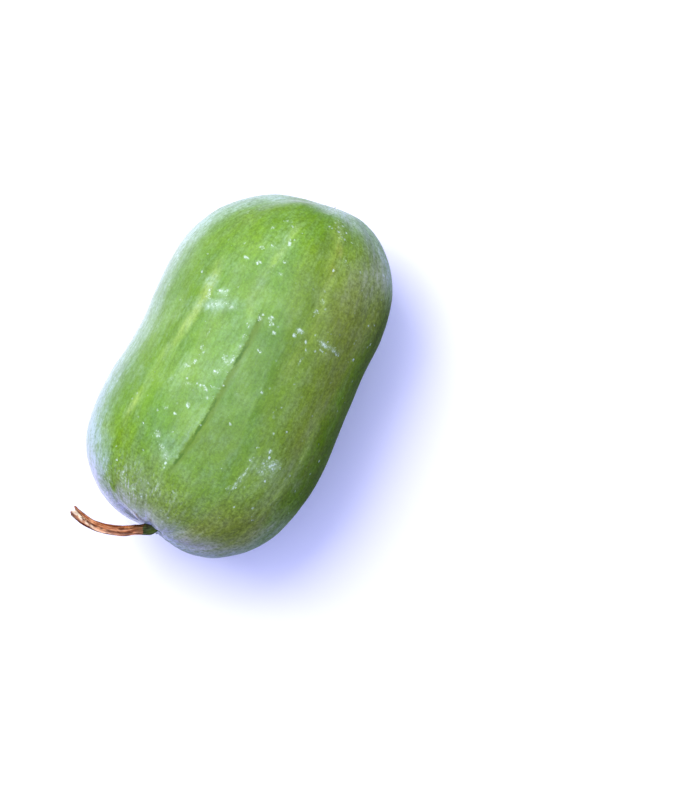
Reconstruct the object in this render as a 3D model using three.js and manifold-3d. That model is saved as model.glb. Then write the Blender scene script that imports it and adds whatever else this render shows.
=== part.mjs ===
// A bottle gourd, picked and lying on its side: one heavy, blunt green fruit with a slight waist, and the
// dry woody stalk that it hung from. Millimetres. The stalk end points along -X and the blossom end along
// +X, +Z is up, and the origin is in the small flat that the fruit rests on, under its weight.
import * as THREE from 'three';
import { mergeVertices } from 'three/addons/utils/BufferGeometryUtils.js';
import Module from 'manifold-3d';

// ---------------------------------------------------------------- driving dimensions, mm and degrees

const CORE_HEIGHT = 70.4;          // height of the fruit's lengthwise middle plane above the table

// Four lines run along the fruit from the stalk pole to the blossom pole: down each flank in plan (x, y),
// and along the back and the belly in side view (x, z above or below the middle plane). Point by point
// they name the same places: stalk pole, lip of the dimple, shoulder, haunch, belly, waist, chest, ...
const LEFT_FLANK = [
  [-111.5, 1], [-116.2, 17], [-110, 44.8], [-89.5, 65.5], [-54, 73.6], [-10, 71.2],
  [30, 74.3], [58, 72.7], [84, 60.7], [103.2, 38.4], [112.2, 13], [116.4, -4],
];
const RIGHT_FLANK = [
  [-111.5, 1], [-118, -14], [-113.6, -41], [-91, -64.3], [-50, -75], [-7, -72],
  [32, -67.8], [61, -66.2], [87, -58.9], [106.8, -42], [116.4, -21], [116.4, -4],
];
const BACK = [
  [-111.5, 12], [-112.8, 26], [-103.5, 47], [-84, 61.5], [-50, 69.4], [-8, 70.4],
  [31, 70], [60, 66.5], [86, 56.5], [105, 37.5], [114.4, 14], [116.4, -5],
];
const BELLY = [
  [-111.5, 12], [-118, -7], [-113.4, -36], [-90, -58.5], [-50, -69.2], [-8, -71],
  [31, -69.8], [58, -66], [83, -56], [102, -38], [112.6, -20], [116.4, -5],
];

// Shallow furrows run from pole to pole between soft ribs. Each angle is measured round the fruit from
// the top towards +Y. Straight down lies in the middle of a wide rib.
const FURROW_ANGLES = [8, 45, 84, 120, 157, -157, -122, -88, -53, -24];
const FURROW_HALF_WIDTH = 7.5;     // degrees, along the middle of the fruit
const GATHERED_HALF_WIDTH = 11;    // degrees, at the poles
const BELLY_FURROW_DEPTH = 0.8;    // along the middle of the fruit
const FOLD_DEPTH = 1.5;            // more where the ribs gather round the stalk
const FOLD_PLACE = 0.1;            // of the way from the stalk pole to the blossom pole
const FOLD_SPREAD = 0.08;
const PUCKER_DEPTH = 0.5;          // and a little more towards the blossom end
const PUCKER_PLACE = 0.87;
const PUCKER_SPREAD = 0.06;

const SCAR_RING_RADIUS = 3.4;      // corky ring that the flower left at the blossom pole
const SCAR_RING_WIDTH = 1.0;
const SCAR_RING_HEIGHT = 0.7;
const SCAR_PIT_RADIUS = 1.7;
const SCAR_PIT_DEPTH = 2.0;

const STALK_RADIUS = 2.9;
const STALK_RIDGES = 5;
const STALK_RIDGE_HEIGHT = 0.32;
const FOOT_RADIUS = 4.1;           // where the stalk spreads on the fruit
const FOOT_LENGTH = 9;
const FOOT_LOBE_HEIGHT = 0.9;
const TORN_LENGTH = 2.2;           // ragged, sunken end where it was pulled from the vine
const JOINT_GAP = 0.3;             // between the stalk's foot and the skin

// Middle line of the stalk, from its root in the flesh to its torn end; heights above the middle plane.
const STALK_PATH = [
  [-104, -2.5, 9], [-111.5, 0.4, 12.5], [-116.6, 3.6, 15.2], [-121, 9.4, 16.8], [-125.6, 16.2, 17.6],
  [-129.5, 24, 18], [-131.8, 33, 18.2], [-132, 42.5, 18.6], [-130.4, 51.5, 19.4],
];

// Mesh steps
const FRUIT_RINGS = 50;
const FRUIT_SIDES = 72;
const END_CROWDING = 0.72;         // 0 spaces the rings evenly, towards 1 crowds them at both poles
const STALK_RINGS = 30;
const STALK_SIDES = 20;

// ---------------------------------------------------------------- shared solid modelling

const wasm = await Module();
wasm.setup();

function toSolid(geometry) {
  const bare = geometry.clone();
  bare.deleteAttribute('normal');
  bare.deleteAttribute('uv');
  const merged = mergeVertices(bare, 1e-4);
  return new wasm.Manifold(new wasm.Mesh({
    numProp: 3,
    vertProperties: new Float32Array(merged.attributes.position.array),
    triVerts: new Uint32Array(merged.index.array),
  }));
}

function toGeometry(solid) {
  const { vertProperties, triVerts } = solid.getMesh();
  const geometry = new THREE.BufferGeometry();
  geometry.setAttribute('position', new THREE.BufferAttribute(vertProperties, 3));
  geometry.setIndex(new THREE.BufferAttribute(triVerts, 1));
  geometry.computeVertexNormals();
  return geometry;
}

// A closed skin through equal rings of points, with one point to close each end.
function closedTube(rings, startPoint, endPoint) {
  const sides = rings[0].length;
  const positions = [startPoint, ...rings.flat(), endPoint].flatMap((point) => point.toArray());
  const last = rings.length * sides + 1;
  const index = [];
  for (let side = 0; side < sides; side++) {
    const next = (side + 1) % sides;
    index.push(0, 1 + next, 1 + side);
    for (let ring = 0; ring < rings.length - 1; ring++) {
      const here = 1 + ring * sides;
      const beyond = here + sides;
      index.push(here + side, here + next, beyond + next);
      index.push(here + side, beyond + next, beyond + side);
    }
    index.push(last, last - sides + side, last - sides + next);
  }
  const geometry = new THREE.BufferGeometry();
  geometry.setAttribute('position', new THREE.Float32BufferAttribute(positions, 3));
  geometry.setIndex(index);
  return geometry;
}

// ---------------------------------------------------------------- the fruit's skin

const inPlan = ([x, y]) => new THREE.Vector3(x, y, 0);
const inSideView = ([x, z]) => new THREE.Vector3(x, 0, z);
const throughPoints = (points) => new THREE.CatmullRomCurve3(points, false, 'centripetal');
const leftFlank = throughPoints(LEFT_FLANK.map(inPlan));
const rightFlank = throughPoints(RIGHT_FLANK.map(inPlan));
const back = throughPoints(BACK.map(inSideView));
const belly = throughPoints(BELLY.map(inSideView));

// The smooth skin: an elliptical ring through the four lines. way runs from 0 at the stalk pole to 1 at
// the blossom pole; angle runs round the ring from the left flank over the back.
function smoothSkin(way, angle) {
  const left = leftFlank.getPoint(way);
  const right = rightFlank.getPoint(way);
  const top = back.getPoint(way);
  const bottom = belly.getPoint(way);
  const across = Math.cos(angle);
  const upward = Math.sin(angle);
  const x = (left.x + right.x) * across ** 2 + (top.x + bottom.x) * upward ** 2
    + (left.x - right.x) * across + (top.x - bottom.x) * upward;
  const y = left.y + right.y + (left.y - right.y) * across;
  const z = top.z + bottom.z + (top.z - bottom.z) * upward;
  return new THREE.Vector3(x / 2, y / 2, z / 2 + CORE_HEIGHT);
}

function skinNormal(way, angle) {
  const step = 1e-3;
  const inside = THREE.MathUtils.clamp(way, 2 * step, 1 - 2 * step);
  const along = smoothSkin(inside + step, angle).sub(smoothSkin(inside - step, angle));
  const around = smoothSkin(inside, angle + step).sub(smoothSkin(inside, angle - step));
  return around.cross(along).normalize();
}

const bump = (distance, spread) => Math.exp(-((distance / spread) ** 2));

function furrowDepth(way) {
  const fade = THREE.MathUtils.smoothstep(way, 0, 0.08) * (1 - THREE.MathUtils.smoothstep(way, 0.86, 0.97));
  return fade * (BELLY_FURROW_DEPTH
    + FOLD_DEPTH * bump(way - FOLD_PLACE, FOLD_SPREAD)
    + PUCKER_DEPTH * bump(way - PUCKER_PLACE, PUCKER_SPREAD));
}

// How far the ribs stand above the smooth skin, or the furrows sink below it.
function ribRelief(way, angle) {
  const fromTop = 90 - THREE.MathUtils.radToDeg(angle);
  const gathered = bump(way, 0.12) + bump(1 - way, 0.12);
  const halfWidth = THREE.MathUtils.lerp(FURROW_HALF_WIDTH, GATHERED_HALF_WIDTH, gathered);
  let furrow = 0;
  for (const furrowAngle of FURROW_ANGLES) {
    const away = THREE.MathUtils.euclideanModulo(fromTop - furrowAngle + 180, 360) - 180;
    furrow += bump(away, halfWidth);
  }
  const meanFurrow = FURROW_ANGLES.length * halfWidth * Math.sqrt(Math.PI) / 360;
  return furrowDepth(way) * (meanFurrow - furrow);
}

const blossomPole = smoothSkin(1, 0);

function scarRelief(point) {
  const distance = point.distanceTo(blossomPole);
  return SCAR_RING_HEIGHT * bump(distance - SCAR_RING_RADIUS, SCAR_RING_WIDTH)
    - SCAR_PIT_DEPTH * bump(distance, SCAR_PIT_RADIUS);
}

// A point of the finished skin; proud moves the whole skin out by that much.
function skinPoint(way, angle, proud) {
  const point = smoothSkin(way, angle);
  const raise = ribRelief(way, angle) + scarRelief(point) + proud;
  return point.addScaledVector(skinNormal(way, angle), raise);
}

function fruitSkin(proud) {
  const rings = [];
  for (let ring = 1; ring < FRUIT_RINGS; ring++) {
    const even = ring / FRUIT_RINGS;
    const way = even - END_CROWDING * Math.sin(2 * Math.PI * even) / (2 * Math.PI);
    const points = [];
    for (let side = 0; side < FRUIT_SIDES; side++) {
      points.push(skinPoint(way, 2 * Math.PI * side / FRUIT_SIDES, proud));
    }
    rings.push(points);
  }
  const stalkPole = smoothSkin(0, 0).add(new THREE.Vector3(-proud, 0, 0));
  const pit = blossomPole.clone().add(new THREE.Vector3(proud - SCAR_PIT_DEPTH, 0, 0));
  return closedTube(rings, stalkPole, pit);
}

// ---------------------------------------------------------------- the two pieces

// The fruit, with the small flat that its own weight presses where it lies.
function makeFruit() {
  const tableDepth = 10;
  const table = new THREE.BoxGeometry(300, 200, tableDepth);
  table.translate(0, 0, -tableDepth / 2);
  const geometry = toGeometry(toSolid(fruitSkin(0)).subtract(toSolid(table)));
  const material = new THREE.MeshStandardMaterial({ color: 0x86b152, roughness: 0.45, metalness: 0 });
  const fruit = new THREE.Mesh(geometry, material);
  fruit.name = 'fruit';
  return fruit;
}

// The stalk: a ridged rod that curves away from the dimple. Its foot is cut to the skin, a gap clear of it.
function makeStalk() {
  const path = throughPoints(STALK_PATH.map(([x, y, z]) => new THREE.Vector3(x, y, z + CORE_HEIGHT)));
  const frames = path.computeFrenetFrames(STALK_RINGS, false);
  const length = path.getLength();
  const rings = [];
  for (let ring = 0; ring <= STALK_RINGS; ring++) {
    const middle = path.getPointAt(ring / STALK_RINGS);
    const fromRoot = length * ring / STALK_RINGS;
    const foot = bump(Math.max(fromRoot - 6, 0), FOOT_LENGTH / 2);
    const torn = ring === STALK_RINGS;
    const points = [];
    for (let side = 0; side < STALK_SIDES; side++) {
      const angle = 2 * Math.PI * side / STALK_SIDES;
      const ridge = Math.cos(STALK_RIDGES * angle + 0.6);
      const rod = STALK_RADIUS + STALK_RIDGE_HEIGHT * ridge;
      const spread = FOOT_RADIUS + FOOT_LOBE_HEIGHT * ridge;
      const radius = THREE.MathUtils.lerp(rod, spread, foot) * (torn ? 0.9 : 1);
      const ragged = torn ? 0.6 * Math.sin(3 * angle) + 0.4 * Math.sin(7 * angle + 1) : 0;
      points.push(middle.clone()
        .addScaledVector(frames.normals[ring], radius * Math.cos(angle))
        .addScaledVector(frames.binormals[ring], radius * Math.sin(angle))
        .addScaledVector(frames.tangents[ring], ragged));
    }
    rings.push(points);
  }
  const tornMiddle = path.getPointAt(1).addScaledVector(frames.tangents[STALK_RINGS], -TORN_LENGTH);
  const rod = toSolid(closedTube(rings, path.getPointAt(0), tornMiddle));
  const geometry = toGeometry(rod.subtract(toSolid(fruitSkin(JOINT_GAP))));
  const material = new THREE.MeshStandardMaterial({ color: 0xa0674e, roughness: 0.8, metalness: 0 });
  const stalk = new THREE.Mesh(geometry, material);
  stalk.name = 'stalk';
  return stalk;
}

const gourd = new THREE.Group();
gourd.add(makeFruit(), makeStalk());

export default gourd;
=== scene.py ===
"""A bottle gourd as picked: one heavy green fruit lying on its side, with its dry stalk.

Metres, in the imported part's own frame: +X runs to the blossom end, +Y to the waisted flank, +Z is up.
"""

import math

import bpy
import numpy as np
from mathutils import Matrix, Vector


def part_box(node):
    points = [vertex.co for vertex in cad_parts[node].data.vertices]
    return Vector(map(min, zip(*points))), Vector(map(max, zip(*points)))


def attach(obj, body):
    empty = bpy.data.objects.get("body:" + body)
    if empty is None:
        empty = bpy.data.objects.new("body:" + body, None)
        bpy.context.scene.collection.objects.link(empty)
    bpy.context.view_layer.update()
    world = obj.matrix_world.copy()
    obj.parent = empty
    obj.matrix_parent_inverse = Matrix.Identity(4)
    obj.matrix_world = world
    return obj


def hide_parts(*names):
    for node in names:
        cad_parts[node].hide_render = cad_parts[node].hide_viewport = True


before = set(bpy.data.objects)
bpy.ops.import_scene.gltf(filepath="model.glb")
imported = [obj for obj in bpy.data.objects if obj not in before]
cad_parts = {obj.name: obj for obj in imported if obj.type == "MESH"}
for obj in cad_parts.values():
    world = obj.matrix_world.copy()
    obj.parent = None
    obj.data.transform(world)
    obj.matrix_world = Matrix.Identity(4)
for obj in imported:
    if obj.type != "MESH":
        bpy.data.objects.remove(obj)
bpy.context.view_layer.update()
MM = 0.001

# ------------------------------------------------------------------ camera
# Straight above the fruit, turned so that the blossom end points up to the right. A long lens at
# arm's length keeps the outline close to the fruit's own plan.
FRAME_HEIGHT_PX = 799
MM_PER_PIXEL = 0.63                    # at the height of the fruit's middle
MIDDLE_HEIGHT = 70.4 * MM
CAMERA_DISTANCE = 1.25
SENSOR_MM = 36
CAMERA_OVER = (14.8 * MM, -67.25 * MM)
CAMERA_TURN = math.radians(-61.2)

bpy.ops.object.camera_add(
    location=(*CAMERA_OVER, MIDDLE_HEIGHT + CAMERA_DISTANCE), rotation=(0, 0, CAMERA_TURN)
)
camera = bpy.context.object
camera.name = "camera"
camera.data.sensor_fit = "VERTICAL"
camera.data.sensor_height = SENSOR_MM
camera.data.lens = SENSOR_MM * CAMERA_DISTANCE / (FRAME_HEIGHT_PX * MM_PER_PIXEL * MM)
bpy.context.scene.camera = camera

# ------------------------------------------------------------------ table and light
# A plain white card on a pale grey table, under a big soft light towards the waisted flank and a wide
# overhead panel. A cool, even fill from all round tints the shadow.
TABLE_SIZE, TABLE_DROP = (8.0, 8.0), 1 * MM
CARD_SIZE = (0.62, 0.62)
PANEL_PLACE, PANEL_SIZE, PANEL_WATTS = (0.35, 0.45, 1.65), (3.3, 2.9), 38
SOFTBOX_PLACE, SOFTBOX_SIZE, SOFTBOX_WATTS = (0.26, 0.82, 1.5), (1.0, 1.0), 28
FILL_LIGHT = (0.17, 0.2, 0.78, 1)      # linear, as these two are light and not a paint
BACKDROP_LIGHT = (0.72, 0.74, 0.78, 1)


def to_linear(hex_colour):
    """An sRGB hex colour as linear red, green, blue and alpha."""
    channels = [int(hex_colour[i : i + 2], 16) / 255 for i in (1, 3, 5)]
    linear = [c / 12.92 if c <= 0.04045 else ((c + 0.055) / 1.055) ** 2.4 for c in channels]
    return (*linear, 1.0)


def add_node(tree, kind, inputs=(), **settings):
    """Adds a node with its settings and fills its inputs, by name or in the order of those in use.

    An input is a value, an output to link from, or a node whose first output in use is linked.
    """
    node = tree.nodes.new(f"ShaderNode{kind}")
    for name, value in settings.items():
        setattr(node, name, value)
    if isinstance(inputs, dict):
        filled = [(node.inputs[name], value) for name, value in inputs.items()]
    else:
        filled = zip([socket for socket in node.inputs if socket.enabled], inputs)
    for socket, value in filled:
        if isinstance(value, bpy.types.Node):
            value = next(output for output in value.outputs if output.enabled)
        if isinstance(value, bpy.types.NodeSocket):
            tree.links.new(value, socket)
        else:
            socket.default_value = value
    return node


def new_material(name):
    """An empty material and its node tree."""
    material = bpy.data.materials.new(name)
    material.use_nodes = True
    material.node_tree.nodes.clear()
    return material, material.node_tree


def lay_flat(name, size, middle, turn, hex_colour, roughness):
    """A level sheet for the set, with its own even material."""
    bpy.ops.object.select_all(action="DESELECT")
    bpy.ops.mesh.primitive_plane_add(size=1, location=middle, rotation=(0, 0, turn))
    sheet = bpy.context.object
    sheet.name = name
    sheet.scale = (*size, 1)
    bpy.ops.object.transform_apply(location=True, rotation=True, scale=True)
    material, tree = new_material(f"{name}_surface")
    paint = {"Base Color": to_linear(hex_colour), "Roughness": roughness}
    add_node(tree, "OutputMaterial", [add_node(tree, "BsdfPrincipled", paint)])
    sheet.data.materials.append(material)


def hang_light(name, place, size, watts, hex_colour):
    """A flat, soft light that shines straight down."""
    bpy.ops.object.light_add(type="AREA", location=place)
    light = bpy.context.object
    light.name = name
    light.data.shape = "RECTANGLE"
    light.data.size, light.data.size_y = size
    light.data.energy = watts
    light.data.color = to_linear(hex_colour)[:3]
    return light


lay_flat("table", TABLE_SIZE, (0, 0, -TABLE_DROP), 0, "#ADA794", 0.7)
lay_flat("white_card", CARD_SIZE, (*CAMERA_OVER, 0), CAMERA_TURN, "#F4F5F8", 0.8)

hang_light("ceiling_panel", PANEL_PLACE, PANEL_SIZE, PANEL_WATTS, "#FBFCFF")
softbox = hang_light("softbox", SOFTBOX_PLACE, SOFTBOX_SIZE, SOFTBOX_WATTS, "#FFFAF0")
to_fruit = Vector((0, 0, MIDDLE_HEIGHT)) - softbox.location
softbox.rotation_euler = to_fruit.to_track_quat("-Z", "Y").to_euler()
softbox.visible_glossy = False         # a broad, even gloss without a second highlight

room = bpy.data.worlds.new("pale_room")
room.use_nodes = True
tree = room.node_tree
tree.nodes.clear()
seen_directly = add_node(tree, "LightPath").outputs["Is Camera Ray"]
fill = add_node(tree, "Background", [FILL_LIGHT])
backdrop = add_node(tree, "Background", [BACKDROP_LIGHT])
add_node(tree, "OutputWorld", [add_node(tree, "MixShader", [seen_directly, fill, backdrop])])
bpy.context.scene.world = room
bpy.context.scene.view_settings.view_transform = "Standard"

# ------------------------------------------------------------------ fruit
# The whole gourd, grown in one piece: a waxy green rind over firm flesh. It is wrapped on the packed
# solid, then its creases, lumps and flower scar are worked into the skin.
SKIN_SEGMENTS, SKIN_RINGS = 88, 60
lowest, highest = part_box("fruit")
fruit_size = Vector(highest) - Vector(lowest)
fruit_middle = (Vector(highest) + Vector(lowest)) / 2
BLOSSOM_POLE = (116.4, -4.0, 62.5)     # millimetres, as are all places on the skin below


def edit(obj):
    """Goes into edit mode on one object with nothing selected."""
    bpy.ops.object.select_all(action="DESELECT")
    bpy.context.view_layer.objects.active = obj
    obj.select_set(True)
    bpy.ops.object.mode_set(mode="EDIT")
    bpy.ops.mesh.select_all(action="DESELECT")


def apply_modifier(obj, kind, **settings):
    """Adds a modifier with its settings and applies it."""
    modifier = obj.modifiers.new(kind, kind)
    for name, value in settings.items():
        setattr(modifier, name, value)
    bpy.context.view_layer.objects.active = obj
    bpy.ops.object.modifier_apply(modifier=modifier.name)


def places(obj):
    """The places of a mesh's points in millimetres, one row each."""
    numbers = np.zeros(len(obj.data.vertices) * 3)
    obj.data.vertices.foreach_get("co", numbers)
    return numbers.reshape(-1, 3) / MM


def set_attribute(obj, name, values):
    """Writes one number, or one vector, for each point of a mesh."""
    vector = values.ndim == 2
    attribute = obj.data.attributes.new(name, "FLOAT_VECTOR" if vector else "FLOAT", "POINT")
    attribute.data.foreach_set("vector" if vector else "value", values.ravel())


def bump(distance, spread):
    """1 at no distance, falling off smoothly over the spread."""
    return np.exp(-((distance / spread) ** 2))


def rise(value, low, high):
    """0 below low, 1 above high and a smooth step between."""
    share = np.clip((value - low) / (high - low), 0, 1)
    return share * share * (3 - 2 * share)


bpy.ops.object.select_all(action="DESELECT")
bpy.ops.mesh.primitive_uv_sphere_add(
    segments=SKIN_SEGMENTS,
    ring_count=SKIN_RINGS,
    radius=0.5,
    location=fruit_middle,
    rotation=(0, math.pi / 2, 0),
    scale=(fruit_size.z, fruit_size.y, fruit_size.x),
)
fruit = bpy.context.object
fruit.name = "gourd_fruit"
bpy.ops.object.transform_apply(location=True, rotation=True, scale=True)

# Distances along and round the skin, kept for the grain of the rind.
GRAIN_RADIUS = 72
SKIN_LENGTH = 330
start = (places(fruit) * MM - np.array(fruit_middle)) / (np.array(fruit_size) / 2)
along = np.arcsin(np.clip(start[:, 0], -1, 1)) / math.pi * SKIN_LENGTH
around = np.arctan2(start[:, 1], start[:, 2])
grain = np.stack([along, GRAIN_RADIUS * np.sin(around), GRAIN_RADIUS * np.cos(around)], axis=1)
set_attribute(fruit, "grain", grain * MM)
cad_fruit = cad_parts["fruit"]
apply_modifier(fruit, "SHRINKWRAP", target=cad_fruit, wrap_method="NEAREST_SURFACEPOINT")
edit(fruit)
bpy.ops.mesh.select_all(action="SELECT")
bpy.ops.mesh.normals_make_consistent(inside=False)
bpy.ops.mesh.select_all(action="DESELECT")
bpy.ops.object.mode_set(mode="OBJECT")
apply_modifier(fruit, "SUBSURF", levels=2, render_levels=2)


def beside(x, y, points):
    """Distance in plan from a line of (x, y) points, to its +Y side, and 1 along its length."""
    line_x, line_y = zip(*points)
    fade = 8
    past_start = rise(x, line_x[0] - fade, line_x[0] + fade)
    past_end = rise(x, line_x[-1] - fade, line_x[-1] + fade)
    return y - np.interp(x, line_x, line_y), past_start * (1 - past_end)


def spots(x, y, patches):
    """Soft patches, each at (x, y) in plan with its length, width, turn in degrees and strength."""
    amount = np.zeros(len(x))
    for patch_x, patch_y, length, width, turned, strength in patches:
        c, s = math.cos(math.radians(turned)), math.sin(math.radians(turned))
        along = (x - patch_x) * c + (y - patch_y) * s
        across = (y - patch_y) * c - (x - patch_x) * s
        amount = np.maximum(amount, strength * bump(np.hypot(along / length, across / width), 1))
    return amount


def relief(obj, heights, direction="NORMAL"):
    """Raises each point along its normal, or along an axis, by a height in millimetres."""
    group = obj.vertex_groups.new(name="relief")
    most = np.abs(heights).max()
    for point, share in enumerate(heights / most / 2 + 0.5):
        group.add([point], share, "REPLACE")
    apply_modifier(obj, "DISPLACE", direction=direction, vertex_group="relief", strength=2 * most * MM,
                   mid_level=0)
    apply_modifier(obj, "DISPLACE", direction=direction, strength=-most * MM, mid_level=0)
    obj.vertex_groups.remove(obj.vertex_groups["relief"])


# Growth lines on the upper side, as (x, y) in plan from the stalk end on.
CREASE = [(-75, 7.8), (-55, 4.8), (-36, 3.2), (-4, 3.2), (13, 3.2), (22, 3.2), (34, 5)]
PALE_LINE = [(29, 8), (38, 13), (53, 14), (63, 12), (81, 11), (94, 11)]
FLANK_VEIN = [(-107, 30.5), (-101, 34.5), (-89, 39.3), (-79, 42.7), (-68, 44.8), (-60, 46.2), (-50, 46),
              (-30, 45.5), (-13, 45), (0, 42), (13, 40.5), (25, 39.5), (40, 41), (49, 42)]
EDGE_OF_SHADE = [(-110, -14), (-90, -22), (-70, -27), (-54, -29), (-45, -31), (-17, -22), (1, -19),
                 (26, -14), (48, -5), (66, 0), (82, 2), (104, -8)]
BROWN_VEIN = [(8, -28), (27, -27), (45, -28), (65, -23), (77, -20), (90, -17.5), (98, -14), (106, -9)]
RIDGE = [(-77, -52), (-58, -56), (-46, -59), (-31, -59), (-18, -58), (0, -54)]
# Two lines by the stalk: a groove under it, as (y, z), and a fold of the skin beside it, as (y, x).
SEAM = [(-24, 81), (-12, 79), (-2, 77)]
FOLD = [(7, -111), (17, -108), (26, -107), (32, -104), (40, -100)]

skin = places(fruit)
x, y, z = skin.T
upper = rise(z, 62, 84)
crease_side, crease_length = beside(x, y, CREASE)
crease_length = crease_length * upper
fold_side, fold_length = beside(y, x, FOLD)
fold_length = fold_length * rise(z, 66, 80) * (1 - rise(x, -98, -88))
seam_side = z - np.interp(y, *zip(*SEAM))
seam_length = rise(y, -26, -18) * (1 - rise(y, -3, 1)) * rise(-x, 100, 108)
relief(
    fruit,
    crease_length * (0.2 * bump(crease_side - 3.4, 2.2) - 0.2 * bump(crease_side, 1.5))
    + fold_length * (0.4 * bump(fold_side, 1.3) - 0.15 * bump(fold_side + 3, 2.2))
    + seam_length * (0.3 * bump(seam_side - 4, 3) - 0.4 * bump(seam_side, 2)),
)

# Growth lumps a thumb wide, and the finer unevenness of the rind, as (size, height) in millimetres.
GROWTH_LUMPS = [(26, 0.8), (9, 0.2)]
off_the_flat = fruit.vertex_groups.new(name="off_the_flat")
for point, share in enumerate(rise(z, 0.5, 6)):
    off_the_flat.add([point], share, "REPLACE")
for size, height in GROWTH_LUMPS:
    lumps = bpy.data.textures.new(f"lumps_{size}", "CLOUDS")
    lumps.noise_scale = size * MM
    lumps.noise_depth = 1
    apply_modifier(fruit, "DISPLACE", texture=lumps, texture_coords="LOCAL", strength=height * MM,
                   mid_level=0.5, vertex_group="off_the_flat")
fruit.vertex_groups.remove(fruit.vertex_groups["off_the_flat"])
bpy.ops.object.shade_smooth()

# Soft patches on the upper side, as (x, y, length, width, turn in degrees, strength).
BROWN_SPOTS = [(90, -19, 4, 2, 29, 0.6), (78, -21, 3, 1.8, 20, 0.35)]
DARKER_SPOTS = [(-54, -5, 26, 15, 0, 0.14), (-68, 28, 22, 14, 0, 0.1), (66, -6, 12, 8, 0, 0.05)]
LIGHTER_SPOTS = [
    (-18, 46, 36, 12, 0, 0.08), (80, -32, 14, 10, 0, 0.06), (82, 12, 12, 12, 0, 0.09),
    (0, 14, 40, 9, 0, 0.04), (86, -45, 18, 11, -30, 0.1), (98, 13, 12, 12, 0, 0.06),
    (-65, -9, 12, 10, 0, 0.04),
]
DUSTY_SPOTS = [
    (37, 39, 4.5, 4, -61, 0.8), (27, 28, 12, 4, -61, 0.75), (-6, 1, 26, 4, 0, 0.2), (-2, 12, 44, 7, 0, 0.16),
    (-46, -44, 12, 9, 0, 0.16), (79, 13, 13, 9, 0, 0.2), (34, 31, 6, 3, -71, 0.3), (-64, 14, 9, 8, 0, 0.25),
    (-88, 24, 14, 12, 20, 0.12), (86, -43, 18, 9, -30, 0.3), (-53, 32, 12, 9, 0, 0.1),
    (-48, -53, 20, 9, 0, 0.1), (-104, 8, 6, 26, -10, 0.15), (-103, 24, 8, 12, 0, 0.25),
    (45, 12, 26, 6, 0, 0.12), (-20, 30, 26, 8, 0, 0.12), (0, 0, 60, 16, 0, 0.05),
    (-9.8, 30.4, 10.8, 9, -61, 0.13), (-31.2, 55, 8.4, 4.8, -121, 0.2), (67.5, -41.8, 7.2, 8.4, -61, 0.13),
    (48.6, 34.7, 12, 8.4, -61, 0.1), (7.8, 38.3, 12, 7.2, -61, 0.08),
]
DULL_SPOTS = [(-60, -5, 30, 20, 0, 0.5), (-68, 28, 24, 16, 0, 0.45)]
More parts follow.
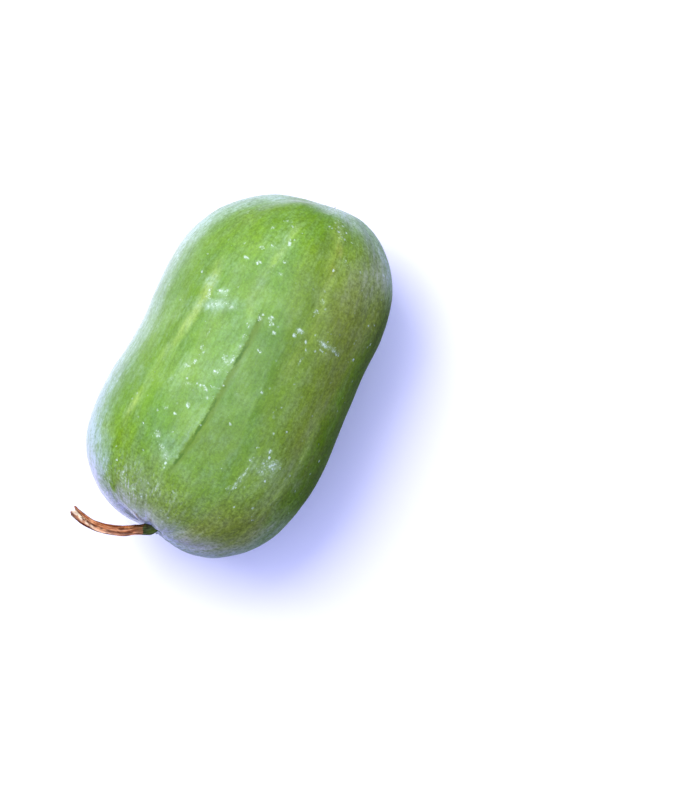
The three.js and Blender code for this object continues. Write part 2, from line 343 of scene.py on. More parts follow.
SCUFFS = [
    # bright flakes, their solid cores painted glints
    (79.4, 9.6, 1, 2.2, -61, 2.8), (59.3, 28.2, 2.2, 1, -86, 2.4), (60.3, 19.8, 1.8, 0.9, -66, 2.6),
    (69, 22.7, 1.8, 1, -71, 1.9), (83.1, 23.2, 2, 0.9, -36, 1.7), (68.2, 6.4, 2, 0.9, -66, 1.9),
    (60.6, 4.9, 2.7, 1, -69, 1.7), (58.2, 11.8, 1.2, 0.9, -61, 1.3), (85.1, 42.4, 0.9, 0.9, -61, 1.8),
    (62.8, 11, 1, 1.2, -61, 1.5), (90.8, 18.7, 3, 0.9, -61, 1.1), (34.7, -2.7, 1.6, 1.1, -61, 2.9),
    (31.8, -5, 1.6, 0.9, -61, 2.3), (27.7, -8.6, 1.2, 1, -61, 3), (33.1, 3.9, 1.4, 1.1, -61, 1.2),
    (36.3, -21.4, 2.7, 1.3, -86, 2.6), (32.3, -19.8, 1.2, 1.2, -61, 3), (51.2, -24.7, 1.2, 1.1, -61, 1.6),
    (14.3, -5.1, 1, 0.9, -61, 1.9), (-20.3, 13.3, 1.8, 1, -61, 1.9), (-21, 10.9, 1.8, 1, -106, 2),
    (-34.5, 15.7, 1.4, 1.7, -61, 2.4), (-43, 20, 1.2, 1, -61, 2.2), (-16.2, -32.4, 1.1, 1.3, -61, 1.7),
    (-35.7, -40.3, 1.1, 1.3, -121, 2.6), (-6.5, -19.2, 1, 2.2, -61, 1.1), (-10.9, -30.9, 1, 1.6, -61, 1),
    # scratches and rows of dots
    (32.3, -27.6, 0.9, 1.8, -61, 2), (28.1, -29.9, 0.9, 1.8, -61, 1.4), (20.1, -30.2, 1.1, 4.2, -86, 1.15),
    (36, -37.8, 4.2, 1, -94, 2.5), (35.9, -44.7, 4, 0.9, -94, 2.3), (32.3, -38.4, 1, 3, -41, 1.3),
    (36.4, -41.4, 8.6, 2.2, -94, 1.15),
    (8.8, 26.1, 0.9, 5.4, -89, 1.15), (-0.3, 25.2, 1.2, 2.4, -81, 1.75), (-9.6, 24.9, 1.4, 1.6, -91, 1.8),
    (-59.5, -32.2, 1.3, 12, -98, 1.35), (-45.4, -32.8, 1.4, 1.2, -61, 1.9),
    (-66.9, -28.7, 1.2, 2.4, -98, 1.3),
    # beside the crease
    (23.7, 6.2, 1, 1.8, -81, 1.5), (17, 5.9, 1.1, 2.4, -81, 1.7), (10.7, 5.1, 1, 2.4, -81, 1.8),
    (2.4, 5.3, 1.8, 3, -86, 1.6), (-0.9, 7.6, 2.4, 2.2, -61, 1.3), (-17.6, 5.9, 5.4, 1.1, -69, 1.05),
    (-6.4, 5.3, 1.8, 1.4, -61, 1.1), (-13.8, 3.9, 1.8, 1.2, -61, 1),
    # clusters of crumbs
    (-0.5, 5.8, 3, 2.4, -61, 1.3), (-14, 28, 5.4, 2.4, -53, 1.1), (-25.2, 32.3, 3.6, 1.8, -31, 1),
    (-23.1, 22.1, 4.8, 1.5, -71, 1.1), (-58.5, 23.3, 3, 3, -61, 1.3), (-64.6, 17.2, 2.4, 3, -61, 1.2),
    (0.4, 10.4, 1.8, 2.4, -61, 1.2), (-9, 10, 3.6, 3, -61, 1.1), (50.9, -24.2, 1.5, 1.5, -61, 1.6),
    (58.3, -24.9, 1.8, 3, -61, 1.1), (31.5, 3, 2.1, 2.1, -61, 1.3),
    (26.3, 30.4, 8.4, 2.2, -53, 1.45), (29.5, 37.2, 1.4, 4.8, -76, 1.35), (34.3, 30.7, 4.8, 2.4, -71, 1.1),
    (29, 21.4, 2.4, 1.1, -61, 2), (-58, 23.6, 1.8, 2, -61, 1.6), (-67.7, 12.8, 2.6, 3.6, -81, 1.25),
    (-74.6, 10.5, 1.8, 1.8, -61, 1.05), (-97.1, 15.3, 1.3, 3, -51, 1.5), (-93.3, 30.8, 2.4, 4.2, -46, 1.2),
    (-42.5, 26.6, 2, 1.6, -61, 1.3), (-13.5, 28.3, 4.2, 1.8, -61, 1), (-24.6, 7.5, 4.2, 1.8, -61, 1),
    (-42.8, -45.4, 6.6, 5.4, -61, 1.2), (-48.8, -41.9, 3.6, 3.6, -61, 1.1), (-95.2, 21.9, 3.6, 3, -61, 1.05),
    (-97.8, 38.1, 1.8, 3.6, -61, 1), (101.3, -12.8, 4.2, 8.4, -41, 0.75), (86.2, -24.6, 3.6, 7.2, -61, 0.65),
    (-58, -22.1, 4.8, 2.4, -61, 0.7), (-14.9, -7.6, 1.8, 1.8, -61, 0.9), (-63.7, 19.1, 1.8, 3, -61, 0.9),
]

shade_side = beside(x, y, EDGE_OF_SHADE)[0]
flank_side, flank_length = beside(x, y, FLANK_VEIN)
brown_side, brown_length = beside(x, y, BROWN_VEIN)
pale_side, pale_length = beside(x, y, PALE_LINE)
ridge_side, ridge_length = beside(x, y, RIDGE)

# Olive on the side that lay away from the sun and a little at the stalk end, less so low down.
olive = rise(-shade_side, -3, 7) * (0.35 + 0.65 * rise(-shade_side, 8, 42))
olive = olive + 0.7 * rise(-x, 58, 104) * (1 - 0.85 * rise(y, 30, 46))
olive = np.clip(olive, 0, 1) * (1 - 0.3 * rise(x, 60, 110)) * (1 - 0.55 * (1 - rise(z, 84, 104)))
set_attribute(fruit, "olive", olive)

# Deeper green along the flank vein and at two places near the blossom end; low on the -Y flank, away
# from the light, the darker green is painted shade.
vein_dark = 0.9 * bump(flank_side - 5, 4.2) * rise(x, -60, -30)
vein_dark = vein_dark + bump(flank_side, 1.9) * rise(-x, 54, 66)
vein_dark = vein_dark + 0.3 * bump(flank_side + 5, 13) * bump(x + 82, 28)
blossom_dark = spots(x, y, [(86, 30, 9, 26, 0, 0.25)]) + spots(x, y, [(97, 6, 12, 14, 0, 0.5)])
# painted shade: the last term darkens the -Y flank low down
deep_green_and_shade = upper * (flank_length * vein_dark + blossom_dark) + rise(-y, 54, 62) * rise(-x, -80, -20)
set_attribute(fruit, "deep_green_and_shade", np.clip(deep_green_and_shade, 0, 1))

# Yellowish veins, and a trace of brown in one of them.
vein_light = 0.45 * bump(flank_side + 1.5, 3.4) + 0.4 * bump(flank_side + 0.8, 1.4)
vein_light = vein_light * (1 - 0.75 * rise(-x, 0, 30))
vein_light = vein_light + 1.05 * bump(flank_side + 0.6, 2.8) * bump(x - 30, 26)
vein_light = vein_light + 0.9 * bump(flank_side, 2) * bump(x + 52, 9)
set_attribute(fruit, "yellow", upper * np.maximum.reduce([
    flank_length * vein_light,
    0.45 * pale_length * bump(pale_side, 2.6),
    brown_length * bump(brown_side, 4.5) * (0.4 + 0.35 * rise(x, 45, 60)),
    0.6 * ridge_length * bump(ridge_side, 1.8),
]))
brown = 0.12 * brown_length * bump(brown_side, 2.6) + spots(x, y, BROWN_SPOTS)
set_attribute(fruit, "brown", upper * brown)

# Lighter and darker places, as a factor on the green: 1 leaves it as it is. Besides the rind's own
# lighter and darker patches it holds painted light and shade: a painted highlight and painted shade at
# the crease, painted shade and a painted light strip at the ridge, and painted shade in the groove under
# the stalk and on the -Y flank turned away from the light.
# painted highlight on the crease's raised +Y edge, painted shade on its -Y side
painted_crease_highlight = crease_length * bump(crease_side - 2.6, 2.6)
painted_crease_shade = rise(-crease_side, -0.5, 2) * bump(crease_side + 14, 22)
painted_crease_shade = painted_crease_shade * rise(x, -80, -50) * (1 - rise(x, 20, 50))
brown_dark = bump(brown_side - 7, 4) * rise(x, 40, 60) * brown_length
# painted shade beside the ridge on its -Y side, and a painted light strip along it
painted_ridge_shade = ridge_length * rise(-ridge_side, 0, 2.5) * bump(ridge_side + 5, 8)
painted_ridge_light = bump(y + 59, 5) * (1 - rise(z, 108, 120)) * bump(x + 5, 20)
# painted shade on the -Y flank, turned away from the light, strongest low down
painted_flank_shade = (0.14 + 0.06 * rise(x, 15, 45)) * (1 - rise(z, 102, 114))
painted_flank_shade = painted_flank_shade + 0.34 * (1 - rise(z, 88, 105)) * (0.4 + 0.6 * rise(z, 40, 88))
painted_flank_shade = painted_flank_shade * rise(-y, 54, 64) * (1 - 0.6 * rise(-x, 50, 76))
tone_and_painted_shade = 0.09 * painted_crease_highlight - 0.09 * painted_crease_shade - 0.13 * brown_dark
tone_and_painted_shade = upper * (tone_and_painted_shade - spots(x, y, DARKER_SPOTS) + spots(x, y, LIGHTER_SPOTS))
# the seam term is painted shade in the groove under the stalk
tone_and_painted_shade = tone_and_painted_shade - painted_flank_shade + 0.1 * painted_ridge_light - 0.13 * painted_ridge_shade - 0.6 * seam_length * bump(seam_side, 2.5)
set_attribute(fruit, "tone_and_painted_shade", 1 + tone_and_painted_shade)

# Dusty bloom: round the stalk end, along the waisted flank, on the shoulder and in small patches.
# Along the flank and shoulder it keeps to a band at the height of the outline seen from above, where
# it also stands in for the pale sheen of the rim: there it is painted rim sheen.
low_side = (1 - rise(z, 92, 122)) * (0.2 + 0.8 * rise(z, 16, 84))
end_dust = rise(-x - 0.25 * (z - 82), 84, 116) * rise(y + 0.4 * (x + 110), -72, -46)
end_dust = end_dust * (0.25 + 0.75 * rise(z, 16, 84))
end_low = (1 - rise(z, 76, 96)) * rise(-x, 62, 96) * (0.3 * rise(y, -50, -20) + 0.7 * rise(y, -18, 5))
end_dust = np.maximum(end_dust, 1.1 * low_side * end_low)
flank_dust_and_rim_sheen = rise(y, 45, 63) * (0.65 + 0.35 * rise(-x, -5, 60)) * low_side
under_vein = rise(-x, 68, 92) * rise(y, 41, 45) * rise(z, 60, 90) * (1 - rise(z, 113, 121))
flank_dust_and_rim_sheen = flank_dust_and_rim_sheen + 0.65 * under_vein
flank_dust_and_rim_sheen = flank_dust_and_rim_sheen * (1 - 0.9 * flank_length * bump(flank_side + 6, 8) * rise(-x, -10, 40))
flank_dust_and_rim_sheen = flank_dust_and_rim_sheen * (1 - 0.4 * rise(x, 50, 80))
blossom_rim = 0.47 * rise(x - 0.35 * y, 92, 116) * rise(-y, -30, 0)
shoulder_dust_and_rim_sheen = 1.65 * low_side * (1 - rise(z, 92, 115))
shoulder_dust_and_rim_sheen = shoulder_dust_and_rim_sheen * np.maximum(rise(x, 40, 80) * rise(y, 10, 46), blossom_rim)
corner_dust = rise(-x, 56, 86) * rise(-y, 40, 64) * (1 - rise(z, 96, 116)) * rise(z, 30, 80)
bare_vein = flank_length * bump(flank_side, 1.8) * rise(-x, 62, 78)
bloom_and_rim_sheen = upper * spots(x, y, DUSTY_SPOTS) + 0.95 * end_dust + flank_dust_and_rim_sheen + shoulder_dust_and_rim_sheen
bloom_and_rim_sheen = bloom_and_rim_sheen + 0.1 * rise(y, 28, 50) * bump(x - 5, 35)
bloom_and_rim_sheen = bloom_and_rim_sheen + 0.12 * crease_length * bump(crease_side - 2.6, 2.4)
bloom_and_rim_sheen = bloom_and_rim_sheen + seam_length * (0.5 * bump(seam_side - 8, 5) - bump(seam_side, 2.5))
bloom_and_rim_sheen = bloom_and_rim_sheen + 0.42 * corner_dust - 0.7 * bare_vein
set_attribute(fruit, "bloom_and_rim_sheen", np.clip(bloom_and_rim_sheen, 0, 1))
wispy = upper * rise(-x, 70, 96) * rise(y, -40, 0) * (0.35 + 0.65 * rise(y, -5, 25))
set_attribute(fruit, "wispy", wispy * (1 - 0.9 * bare_vein))

# By the stalk the bloom turns lilac, a painted reflection of blue shade; past the waist it is greener.
lilac_reflection = (1 - rise(z, 94, 120)) * rise(z, 30, 80) * rise(-x, 84, 106) * (0.35 + 0.65 * rise(y, -25, 5))
set_attribute(fruit, "lilac_reflection", lilac_reflection)
set_attribute(fruit, "mint", rise(x, -60, -15))

# A coarser grain towards the ends and the shaded side, and places where the gloss is dulled.
coarse = rise(-x - 4, 36, 100) + 0.5 * rise(x + 4, 36, 100) + 0.6 * rise(-y, 15, 50)
set_attribute(fruit, "coarse", np.clip(coarse, 0, 1))
dull = rise(-y, 30, 56) + rise(-x, 84, 104) * rise(-y, -18, 18)
dull = dull + 0.9 * rise(x, 60, 92) * rise(-y, -36, -10) * rise(z, 94, 112)
dull = dull * (1 - rise(z, 128, 136)) + 0.45 * rise(-shade_side, -6, 14) + 0.4 * rise(x, 50, 80)
dull = dull + spots(x, y, DULL_SPOTS) + 0.7 * flank_length * bump(flank_side + 3, 9) * rise(-x, 20, 50)
set_attribute(fruit, "dull", np.clip(dull, 0, 1))

# Rubbed and scratched places, their brightest spots also painted glints, and the places of the crease
# and of the flower scar.
set_attribute(fruit, "scuffs", upper * spots(x, y, SCUFFS))
set_attribute(fruit, "crease_side", crease_side * MM)
set_attribute(fruit, "crease_length", crease_length)
set_attribute(fruit, "scar", np.linalg.norm(skin - np.array(BLOSSOM_POLE), axis=1) * MM)

# Waxy rind of a young gourd: a fresh green skin with lengthwise fibres and pale pores, under a thin
# wax that is glossy where it is clean and a dusty, whitish bloom where it isn't rubbed off. Real fibres
# and pores are finer, and are drawn as coarse as they need to be to show.
MOTTLE_SIZE, BLOTCH_SIZE, HAZE_SIZE, SPECK_SIZE = 34, 8, 6.5, 2.0              # millimetres
FIBRE_WIDTH, PORE_SIZE, FLAKE_SPACING, WISP_WIDTH, WANDER_SIZE = 2.2, 1.2, 2.3, 1.7, 9
# The grain draws some patterns out along the fruit.
FIBRE_STRETCH, WISP_STRETCH, PATCH_STRETCH = (0.13, 1, 1), (0.45, 1, 1), (0.6, 1, 1)
rind, tree = new_material("waxy_gourd_rind")
place = add_node(tree, "TexCoord").outputs["Object"]
grain_place = add_node(tree, "Attribute", attribute_name="grain").outputs["Vector"]
kept = {
    name: add_node(tree, "Attribute", attribute_name=name).outputs["Fac"]
    for name in ("olive", "deep_green_and_shade", "yellow", "brown", "tone_and_painted_shade", "coarse", "bloom_and_rim_sheen", "wispy", "mint", "lilac_reflection",
                 "dull", "scuffs", "crease_side", "crease_length", "scar")
}


def pattern(tree, vector, size, stretch=(1, 1, 1), detail=3.0, roughness=0.6):
    """Soft noise with features of about this size in millimetres, longer on an axis given less than 1."""
    drawn = add_node(tree, "VectorMath", [vector, stretch], operation="MULTIPLY")
    return add_node(tree, "TexNoise", [drawn, 1 / (size * MM), detail, roughness])


def broken_up(tree, share, uneven, low, high, at_low=0.0, at_high=1.0):
    """A share times a number that goes from at_low to at_high while a pattern goes from low to high."""
    factor = add_node(tree, "MapRange", [uneven, low, high, at_low, at_high])
    return add_node(tree, "Math", [share, factor], operation="MULTIPLY")


def tint(tree, colour, hex_colour, uneven, low, high, at_low=0.0, at_high=1.0, share=1.0):
    """Lays a colour over another one by a share that a pattern breaks up."""
    laid_on = broken_up(tree, share, uneven, low, high, at_low, at_high)
    return add_node(tree, "Mix", [laid_on, colour, to_linear(hex_colour)], data_type="RGBA")


mottle = pattern(tree, place, MOTTLE_SIZE, detail=4.0)
specks = pattern(tree, place, SPECK_SIZE, roughness=0.65)
pores = pattern(tree, place, PORE_SIZE, detail=2.0)
fibres = pattern(tree, grain_place, FIBRE_WIDTH, FIBRE_STRETCH, roughness=0.65)
blotches = pattern(tree, grain_place, BLOTCH_SIZE, PATCH_STRETCH, detail=6.0, roughness=0.68)
haze = pattern(tree, grain_place, HAZE_SIZE, PATCH_STRETCH, detail=5.0, roughness=0.7)
wisps = pattern(tree, grain_place, WISP_WIDTH, WISP_STRETCH, detail=4.0, roughness=0.7)

# green, deeper in places and darker low on the -Y flank as painted shade, turning olive on the side
# that lay away from the sun
colour = tint(tree, to_linear("#5F8923"), "#70952A", mottle, 0.35, 0.65)
colour = tint(tree, colour, "#72832B", mottle, 0.3, 0.7, 1.15, 0.8, kept["olive"])
colour = tint(tree, colour, "#5E8405", blotches, 0.3, 0.6, 0.4, 1.0, kept["deep_green_and_shade"])
colour = tint(tree, colour, "#8DA946", blotches, 0.35, 0.6, 0.25, 1.0, kept["yellow"])
colour = tint(tree, colour, "#867C2C", fibres, 0.35, 0.65, 0.2, 0.8, kept["brown"])
grit = broken_up(tree, kept["coarse"], specks, 0.3, 0.7, -0.3, 0.3)
strength = add_node(tree, "Math", [1.0, grit], operation="ADD")
# the tone factor brings in painted light and shade as well as the rind's own lighter and darker patches
strength = add_node(tree, "Math", [kept["tone_and_painted_shade"], strength], operation="MULTIPLY")
for uneven, darkest, lightest in (
    (fibres, 0.91, 1.09), (blotches, 0.86, 1.14), (specks, 0.9, 1.1), (pores, 0.88, 1.12)
):
    strength = broken_up(tree, strength, uneven, 0.3, 0.7, darkest, lightest)
colour = add_node(tree, "VectorMath", [colour, strength], operation="SCALE")

# dusty bloom in broken patches, also painted rim sheen, and thinner where painted shade darkens the skin
skin_out_of_painted_shade = add_node(tree, "MapRange", [kept["tone_and_painted_shade"], 0.5, 0.9])
dust_everywhere = broken_up(tree, skin_out_of_painted_shade, haze, 0.42, 0.68, 0.0, 0.09)
dust_in_patches = broken_up(tree, kept["bloom_and_rim_sheen"], haze, 0.33, 0.68, 0.4, 1.0)
dust_in_wisps = broken_up(tree, kept["wispy"], blotches, 0.42, 0.58)
dust_in_wisps = broken_up(tree, dust_in_wisps, wisps, 0.5, 0.68, 0.0, 0.9)
dust = add_node(tree, "Math", [dust_everywhere, dust_in_patches], operation="ADD")
dust = add_node(tree, "Math", [dust, dust_in_wisps], operation="ADD")
dust = broken_up(tree, dust, mottle, 0.35, 0.65, 0.65, 1.2)
dust = broken_up(tree, dust, specks, 0.3, 0.7, 0.5, 1.45)
dust = broken_up(tree, dust, fibres, 0.3, 0.7, 0.7, 1.3)
bloom_colour = to_linear("#A5C2B8")
# the lilac tint by the stalk is a painted reflection of blue shade
for name, hex_colour in (("mint", "#AAC9AC"), ("olive", "#BDBBAE"), ("lilac_reflection", "#B5BACF")):
    layers = [kept[name], bloom_colour, to_linear(hex_colour)]
    bloom_colour = add_node(tree, "Mix", layers, data_type="RGBA")
colour = add_node(tree, "Mix", [dust, colour, bloom_colour], data_type="RGBA")

# the crease: painted shade as a soft, deeper green band on its -Y side, and as a dark, broken line
# along its sharper edge
wander = pattern(tree, place, WANDER_SIZE, detail=4.0, roughness=0.5)
wander = add_node(tree, "MapRange", [wander, 0.0, 1.0, -1.0 * MM, 1.0 * MM])
ravelled = add_node(tree, "MapRange", [specks, 0.2, 0.8, -0.9 * MM, 0.9 * MM])
from_crease = add_node(tree, "Math", [wander, ravelled], operation="ADD")
from_crease = add_node(tree, "Math", [kept["crease_side"], from_crease], operation="ADD")
soft = {"interpolation_type": "SMOOTHSTEP"}
soft_edge = add_node(tree, "MapRange", [from_crease, -5.0 * MM, -1.2 * MM, 0.0, 0.8], **soft)
sharp_edge = add_node(tree, "MapRange", [from_crease, -0.7 * MM, 1.3 * MM, 1.0, 0.0], **soft)
crease_shade_band = add_node(tree, "Math", [soft_edge, sharp_edge], operation="MULTIPLY")
crease_shade_band = add_node(tree, "Math", [crease_shade_band, kept["crease_length"]], operation="MULTIPLY")
colour = add_node(tree, "Mix", [crease_shade_band, colour, to_linear("#5C7812")], data_type="RGBA")
from_line = add_node(tree, "Math", [from_crease, 0.9 * MM], operation="ADD")
from_line = add_node(tree, "Math", [from_line], operation="ABSOLUTE")
line = add_node(tree, "MapRange", [from_line, 0.2 * MM, 1.6 * MM, 1.0, 0.0], **soft)
line = add_node(tree, "Math", [line, kept["crease_length"]], operation="MULTIPLY")
colour = tint(tree, colour, "#3C6409", blotches, 0.44, 0.56, 0.1, 0.85, line)

# flakes of dry wax: a few everywhere, close together with a pale halo where it is rubbed or scratched;
# the solid pale cores of the brightest are painted glints
rubbed = add_node(tree, "MapRange", [kept["scuffs"], 0.5, 1.6])
colour = tint(tree, colour, "#ABC49A", specks, 0.35, 0.65, 0.15, 0.6, rubbed)
flakes = add_node(tree, "TexVoronoi", [place, 1 / (FLAKE_SPACING * MM)])
lot = add_node(tree, "SeparateColor", [flakes.outputs["Color"]]).outputs
ragged = add_node(tree, "MapRange", [pores, 0.2, 0.8, -0.4, 0.4])
ragged = add_node(tree, "Math", [flakes.outputs["Distance"], ragged], operation="ADD")
flake = add_node(tree, "MapRange", [ragged, 0.1, 0.45, 1.0, 0.0], **soft)
more_where_rubbed = add_node(tree, "Math", [kept["scuffs"], 0.3], operation="MULTIPLY")
drawn_lot = add_node(tree, "Math", [lot["Red"], more_where_rubbed], operation="ADD")
flake = broken_up(tree, flake, drawn_lot, 0.97, 1.0)
flake = broken_up(tree, flake, lot["Green"], 0.0, 1.0, 0.2, 0.9)
speckled = add_node(tree, "MapRange", [specks, 0.3, 0.7, -0.5, 0.5])
pitted = add_node(tree, "MapRange", [pores, 0.3, 0.7, -0.5, 0.5])
# painted glints: solid pale cores where the scuffs are strongest
painted_glint_core = add_node(tree, "Math", [speckled, pitted], operation="ADD")
painted_glint_core = add_node(tree, "Math", [kept["scuffs"], painted_glint_core], operation="ADD")
painted_glint_core = add_node(tree, "MapRange", [painted_glint_core, 1.3, 2.2, 0.0, 0.8])
crumbs = add_node(tree, "Math", [kept["scuffs"], 0.2], operation="MULTIPLY")
crumbs = add_node(tree, "Math", [pores, crumbs], operation="ADD")
crumbs = add_node(tree, "MapRange", [crumbs, 0.74, 0.9, 0.0, 0.75])
flake = add_node(tree, "Math", [flake, painted_glint_core], operation="MAXIMUM")
flake = add_node(tree, "Math", [flake, crumbs], operation="MAXIMUM")
colour = add_node(tree, "Mix", [flake, colour, to_linear("#C8DEC4")], data_type="RGBA")

# flower scar: cork round a dark pit
uneven_edge = add_node(tree, "MapRange", [pores, 0.0, 1.0, -0.5 * MM, 0.5 * MM])
from_scar = add_node(tree, "Math", [kept["scar"], uneven_edge], operation="ADD")
for inner, outer, hex_colour in ((3.0, 3.8, "#8C6238"), (1.0, 2.2, "#3B2414")):
    disc = add_node(tree, "MapRange", [from_scar, inner * MM, outer * MM, 1.0, 0.0], **soft)
    colour = add_node(tree, "Mix", [disc, colour, to_linear(hex_colour)], data_type="RGBA")

# the surface: matt where it is dusty or dulled, with a clear coat of wax elsewhere
height = add_node(tree, "Math", [fibres, pores], operation="ADD")
dusty_matt = add_node(tree, "MapRange", [dust, 0.0, 0.5, 0.42, 0.65])
dulled_matt = add_node(tree, "MapRange", [kept["dull"], 0.0, 1.0, 0.42, 0.8])
wax = add_node(tree, "BsdfPrincipled", {
    "Base Color": colour,
    "Roughness": add_node(tree, "Math", [dusty_matt, dulled_matt], operation="MAXIMUM"),
    "Specular IOR Level": 0.05,
    "Normal": add_node(tree, "Bump", {"Strength": 0.8, "Distance": 0.16 * MM, "Height": height}),
    "Coat Weight": add_node(tree, "MapRange", [kept["dull"], 0.0, 1.0, 0.85, 0.0]),
    "Coat Roughness": 0.12,
    "Coat IOR": 1.48,
    "Sheen Weight": 0.02,
    "Sheen Roughness": 0.38,
    "Sheen Tint": to_linear("#D8E8FF"),
})
add_node(tree, "OutputMaterial", [wax])
fruit.data.materials.append(rind)
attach(fruit, "root")
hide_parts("fruit")

# ------------------------------------------------------------------ stalk
# The dry stalk: a ribbed, woody rod, brown and split along its length. It bends away from a lobed, dark
# green foot that is grown into the dimple of the fruit, and ends forked where it was torn from the vine.
STALK_RADIUS, STALK_SIDES, STALK_CUTS = 2.5, 96, 170
STALK_POINTS = [(-108.1, -1.9, 81), (-112.2, -0.3, 83), (-116.2, 3.9, 85.9), (-120.1, 10.0, 87.6),
                (-124.3, 16.9, 88.2), (-127.7, 24.6, 88.6), (-129.7, 33.3, 88.7), (-129.6, 42.4, 89.1),
                (-127.6, 50.8, 89.9)]
FOOT_LENGTH, NOTCH_DEPTH, HOLLOW_DEPTH = 14.4, 2.4, 6.0      # millimetres

route = bpy.data.curves.new("stalk_route", "CURVE")
route.dimensions = "3D"
route.twist_mode = "Z_UP"
route.resolution_u = 24
spline = route.splines.new("BEZIER")
spline.bezier_points.add(len(STALK_POINTS) - 1)
for knot, knot_place in zip(spline.bezier_points, STALK_POINTS):
    knot.co = Vector(knot_place) * MM
    knot.handle_left_type = knot.handle_right_type = "AUTO"
stalk_route = bpy.data.objects.new("stalk_route", route)
bpy.context.collection.objects.link(stalk_route)
stalk_length = spline.calc_length() / MM

# A straight tube first, upright on its root, with 90 degrees as the side that will lie uppermost.
bpy.ops.object.select_all(action="DESELECT")
bpy.ops.mesh.primitive_cylinder_add(
    vertices=STALK_SIDES,
    radius=STALK_RADIUS * MM,
    depth=stalk_length * MM,
    end_fill_type="NOTHING",
    location=(0, 0, stalk_length * MM / 2),
)
stalk = bpy.context.object
stalk.name = "gourd_stalk"
bpy.ops.object.transform_apply(location=True)
edit(stalk)
bpy.ops.mesh.select_mode(type="EDGE")
bpy.ops.object.mode_set(mode="OBJECT")
for edge in stalk.data.edges:
    low, high = [stalk.data.vertices[v].co.z for v in edge.vertices]
    edge.select = abs(low - high) > MM
bpy.ops.object.mode_set(mode="EDIT")
bpy.ops.mesh.subdivide(number_cuts=STALK_CUTS)
bpy.ops.object.mode_set(mode="OBJECT")


def round_the_rod(points):
    """How far along the straight rod each point is, and its angle round it in degrees, 0 to 360."""
    return points[:, 2], np.degrees(np.arctan2(points[:, 1], points[:, 0])) % 360


def turn_between(angles, angle):
    """The smaller turn between angles in degrees, with its sign."""
    return (angles - angle + 180) % 360 - 180


def rod_line(along, angles, points):
    """Distance in millimetres round the rod from a line of (along, degrees), and 1 along its length."""
    line_along, line_angles = zip(*points)
    past_start = rise(along, line_along[0] - 3, line_along[0])
    past_end = rise(along, line_along[-1], line_along[-1] + 3)
    turn = turn_between(angles, np.interp(along, line_along, line_angles))
    return np.radians(turn) * STALK_RADIUS, past_start * (1 - past_end)


# Valleys between the ribs, as (along, degrees) lines with a depth and a width in millimetres, then
# the crests of the ribs, which carry a painted highlight, and the split as such lines.
end = stalk_length
VALLEYS = [
    ([(FOOT_LENGTH + 8, 64), (end - 34, 70), (end - 18, 86), (end - 8, 100), (end, 104)], 0.6, 0.42),
    ([(FOOT_LENGTH - 1, 158), (FOOT_LENGTH + 6, 142), (FOOT_LENGTH + 14, 112)], 0.6, 0.75),
    ([(FOOT_LENGTH + 10, 20), (end / 2, 16), (end, 14)], 0.6, 0.55),
    ([(FOOT_LENGTH - 4, 205), (end / 2, 198), (end, 190)], 0.55, 0.5),
    ([(FOOT_LENGTH - 4, 262), (end, 275)], 0.6, 0.5),
    ([(FOOT_LENGTH - 4, 318), (end, 325)], 0.5, 0.45),
    ([(FOOT_LENGTH + 12, 140), (end - 12, 150)], 0.22, 0.3),
    ([(FOOT_LENGTH + 3, 95), (end / 2, 108), (end - 6, 128)], 0.2, 0.25),
]
CRESTS = [[(FOOT_LENGTH + 1, 66), (FOOT_LENGTH + 12, 52), (FOOT_LENGTH + 24, 60)],
          [(FOOT_LENGTH + 12, 98), (end / 2, 90), (end - 18, 62)], [(end / 2, 40), (end - 6, 44)]]
SPLIT = [(end - 31, 40), (end - 22, 42), (end - 12, 66), (end - 5, 84), (end, 92)]
# Lumps round the foot, as (how far short of its end, length, degrees, spread in degrees, height).
FOOT_LUMPS = [(3.4, 3, 128, 32, 1.6), (3, 3.4, 5, 50, 1.3), (3.6, 3, 165, 36, 2.4)]

along, angles = round_the_rod(places(stalk))
flare = 0.95 * (1 - rise(along, 4, FOOT_LENGTH)) * (1 - 0.1 * bump(turn_between(angles, 20), 70))
wavy = 0.12 * np.sin(along / 4.3) + 0.08 * np.sin(along / 2.1 + 1)
lobes = 0.3 * np.cos(np.radians(5 * (angles - 172))) * bump(along - FOOT_LENGTH + 5, 5)
tucked_in = 1.5 * (1 - rise(along, 3, 9)) * bump(turn_between(angles, 350), 75)
heights = flare + wavy + lobes - tucked_in
for back, length, angle, spread, height in FOOT_LUMPS:
    lump = bump(along - FOOT_LENGTH + back, length) * bump(turn_between(angles, angle), spread)
    heights = heights + height * lump
for points, depth, width in VALLEYS:
    side, inside = rod_line(along, angles, points)
    banks = 0.35 * bump(np.abs(side) - 2.2 * width, 1.3 * width)
    heights = heights + inside * depth * (banks - bump(side, width))
side, inside = rod_line(along, angles, SPLIT)
heights = heights - 0.35 * inside * bump(side, 0.4)
threads = np.sin(np.radians(17 * angles) + along / 7) + 0.7 * np.sin(np.radians(31 * angles) - along / 4)
heights = heights + 0.06 * threads * rise(along, FOOT_LENGTH - 4, FOOT_LENGTH + 4)
relief(stalk, heights)

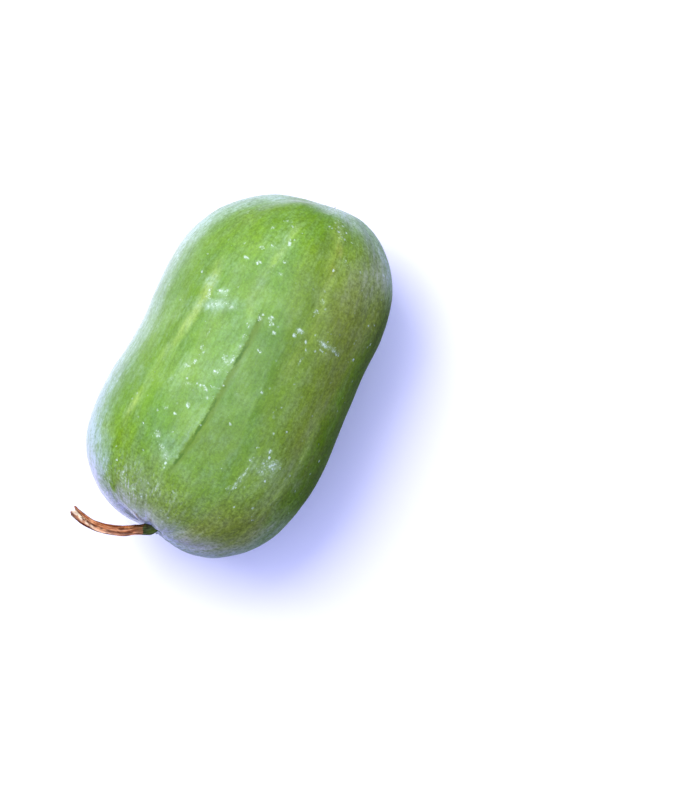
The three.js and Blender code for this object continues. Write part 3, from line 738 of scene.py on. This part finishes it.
# The torn end: a notch on top and one below leave two prongs with a ragged edge, round a hollow.
along, angles = round_the_rod(places(stalk))
torn = NOTCH_DEPTH * (bump(turn_between(angles, 98), 24) + bump(turn_between(angles, 268), 30))
torn = torn + 1.6 * bump(turn_between(angles, 0), 34)
torn = torn + 0.3 * np.sin(np.radians(9 * angles)) + 0.22 * np.sin(np.radians(23 * angles))
relief(stalk, -torn * rise(along, end - 10, end), direction="Z")
edit(stalk)
bpy.ops.mesh.select_non_manifold()
bpy.ops.object.mode_set(mode="OBJECT")
for edge in stalk.data.edges:
    edge.select = edge.select and stalk.data.vertices[edge.vertices[0]].co.z > MM
bpy.ops.object.mode_set(mode="EDIT")
HOLLOW_STEPS = [(0, 0.84, 1), (1, 0.8, 1), (HOLLOW_DEPTH, 0.6, 0)]      # drop, narrowing and flattening
for drop, narrowing, flatten in HOLLOW_STEPS:
    bpy.ops.mesh.extrude_edges_move(TRANSFORM_OT_translate={"value": (0, 0, -drop * MM)})
    bpy.ops.transform.resize(
        value=(narrowing, narrowing, flatten), center_override=(0, 0, (end - HOLLOW_DEPTH) * MM)
    )
bpy.ops.mesh.edge_face_add()
bpy.ops.mesh.select_all(action="DESELECT")
bpy.ops.mesh.select_non_manifold()
bpy.ops.mesh.edge_face_add()
bpy.ops.mesh.select_all(action="SELECT")
bpy.ops.mesh.normals_make_consistent(inside=False)
bpy.ops.mesh.select_all(action="DESELECT")
bpy.ops.mesh.select_mode(type="VERT")
bpy.ops.object.mode_set(mode="OBJECT")

# Where the wood differs: valleys darkened as painted shade, crests with a painted highlight, the pale
# split and pith, and the green foot with its curved edge.
straight = places(stalk)
along, angles = round_the_rod(straight)
radii = np.hypot(straight[:, 0], straight[:, 1])
set_attribute(stalk, "grain", straight * MM)
valley_shade = np.zeros(len(straight))
for points, depth, width in VALLEYS:
    side, inside = rod_line(along, angles, points)
    valley_shade = np.maximum(valley_shade, inside * min(1, 2 * depth) * bump(side, 1.5 * width))
set_attribute(stalk, "valley_shade", valley_shade)
painted_crest_highlight = np.zeros(len(straight))
for points in CRESTS:
    side, inside = rod_line(along, angles, points)
    painted_crest_highlight = np.maximum(painted_crest_highlight, inside * bump(side, 0.55))
set_attribute(stalk, "painted_crest_highlight", painted_crest_highlight)
side, inside = rod_line(along, angles, SPLIT)
pith = inside * bump(side, 0.36) * rise(along, end - 34, end - 12)
pith = np.maximum(pith, bump(side, 1.1) * rise(along, end - 5, end - 2))
inner_wall = (along > end - 10) * (radii < 0.88 * STALK_RADIUS)
set_attribute(stalk, "pith", np.clip(np.maximum(pith, inner_wall), 0, 1))
set_attribute(stalk, "lobe", bump(along - FOOT_LENGTH + 3, 3.6) * bump(turn_between(angles, 148), 40))
near_foot = 1 - rise(along, FOOT_LENGTH + 2, FOOT_LENGTH + 11)
set_attribute(stalk, "smoke", bump(turn_between(angles, 150), 55) * near_foot)
foot_edge = FOOT_LENGTH + 0.9 * np.cos(np.radians(angles - 60)) + 0.5 * np.cos(np.radians(3 * angles))
set_attribute(stalk, "past_foot", (along - foot_edge) * MM)
apply_modifier(stalk, "CURVE", object=stalk_route, deform_axis="POS_Z")
bpy.data.objects.remove(stalk_route)
stalk.select_set(True)
bpy.ops.object.shade_smooth_by_angle(angle=math.radians(50))

# Dry, fibrous wood: orange-brown ribs with a painted highlight on their crests and painted shade in
# the valleys, painted lighter towards the foot, paler where it split, and a foot that is still green and
# leathery.
STRAND_WIDTH, STAIN_SIZE = 0.7, 4.5     # millimetres, the strands coarser than real ones so that they show
STRAND_STRETCH, STAIN_STRETCH = (1, 1, 0.12), (1, 1, 0.4)
wood, tree = new_material("dry_stalk_wood")
grain_place = add_node(tree, "Attribute", attribute_name="grain").outputs["Vector"]
kept = {
    name: add_node(tree, "Attribute", attribute_name=name).outputs["Fac"]
    for name in ("valley_shade", "painted_crest_highlight", "pith", "lobe", "smoke", "past_foot")
}
strands = pattern(tree, grain_place, STRAND_WIDTH, STRAND_STRETCH)
stains = pattern(tree, grain_place, STAIN_SIZE, STAIN_STRETCH)
colour = tint(tree, to_linear("#6E381E"), "#B87040", stains, 0.38, 0.6)
colour = tint(tree, colour, "#E8A872", strands, 0.5, 0.62, 0.0, 0.8)
# painted highlight along the rib crests, then painted shade in the valleys
colour = tint(tree, colour, "#F2B482", stains, 0.35, 0.6, 0.2, 1.0, kept["painted_crest_highlight"])
colour = tint(tree, colour, "#3B1B0D", stains, 0.25, 0.55, 0.7, 1.0, kept["valley_shade"])
# painted light: the rod is painted lighter towards the foot
strength = add_node(tree, "MapRange", [kept["past_foot"], 6 * MM, 32 * MM, 1.2, 0.95])
colour = add_node(tree, "VectorMath", [colour, strength], operation="SCALE")
colour = tint(tree, colour, "#7A5C36", kept["past_foot"], 1 * MM, 7 * MM, 0.6, 0.0)
colour = tint(tree, colour, "#3E2614", stains, 0.3, 0.55, 0.4, 1.0, kept["smoke"])
colour = tint(tree, colour, "#EAD8B2", strands, 0.2, 0.5, 0.6, 1.0, kept["pith"])

# the green foot, up to its ragged edge
foot_green = tint(tree, to_linear("#2B330A"), "#4E6019", stains, 0.4, 0.6)
foot_green = tint(tree, foot_green, "#6E8450", strands, 0.45, 0.7, 0.0, 0.5)
foot_green = tint(tree, foot_green, "#1A2408", strands, 0.48, 0.36, 0.0, 0.75)
foot_green = tint(tree, foot_green, "#3A2A18", strands, 0.2, 0.6, 1.0, 0.6, kept["lobe"])
ragged = add_node(tree, "MapRange", [strands, 0.0, 1.0, -0.9 * MM, 0.9 * MM])
ragged = add_node(tree, "Math", [kept["past_foot"], ragged], operation="ADD")
on_the_foot = add_node(tree, "MapRange", [ragged, -0.15 * MM, 0.25 * MM, 1.0, 0.0])
colour = add_node(tree, "Mix", [on_the_foot, colour, foot_green], data_type="RGBA")

bark = add_node(tree, "BsdfPrincipled", {
    "Base Color": colour,
    "Roughness": add_node(tree, "MapRange", [strands, 0.2, 0.8, 0.5, 0.75]),
    "Specular IOR Level": 0.12,
    "Normal": add_node(tree, "Bump", {"Strength": 0.6, "Distance": 0.12 * MM, "Height": strands}),
})
add_node(tree, "OutputMaterial", [bark])
stalk.data.materials.append(wood)
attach(stalk, "root")
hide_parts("stalk")
